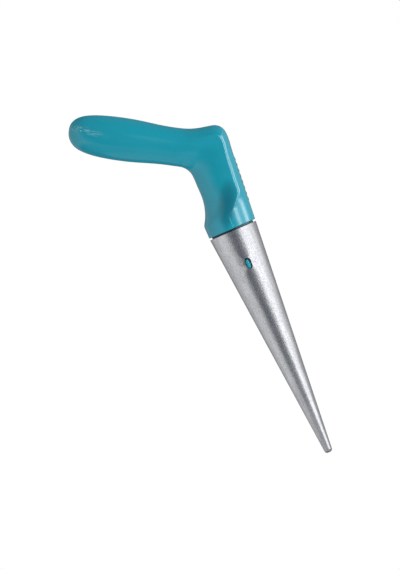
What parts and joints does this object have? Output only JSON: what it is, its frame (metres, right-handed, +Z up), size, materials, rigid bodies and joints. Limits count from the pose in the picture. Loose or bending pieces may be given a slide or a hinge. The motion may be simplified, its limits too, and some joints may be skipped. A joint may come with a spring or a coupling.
{
  "type": "hand dibber",
  "caption": "Hand dibber with a moulded pistol-grip handle snapped into a hollow galvanised steel cone, for making planting holes.",
  "frame": {"origin": "centre of the cone's flat tip", "axes": "+Z up the cone's axis to the handle, +X to the front where the post has its spine, the grip rises back along -X, +Y to the left"},
  "size_m": [0.1178, 0.0408, 0.3266],
  "materials": {
    "teal_plastic": "moulded teal plastic, self-coloured and glossy",
    "galvanised_steel": "satin zinc coat with a fine mottle"
  },
  "bodies": {
    "dibber": {"handle": "teal_plastic", "cone": "galvanised_steel"},
    "left_tongue": {"left_tongue": "teal_plastic"},
    "right_tongue": {"right_tongue": "teal_plastic"}
  },
  "joints": [
    {"name": "left_tongue_flex", "type": "hinge", "parent": "dibber", "child": "left_tongue", "pos_m": [0, 0.01533, 0.18614], "axis": [-1, 0, 0], "range_deg": [0, 5], "stiffness_Nm_per_rad": 2},
    {"name": "right_tongue_flex", "type": "hinge", "parent": "dibber", "child": "right_tongue", "pos_m": [0, -0.01533, 0.18614], "axis": [1, 0, 0], "range_deg": [0, 5], "stiffness_Nm_per_rad": 2}
  ]
}
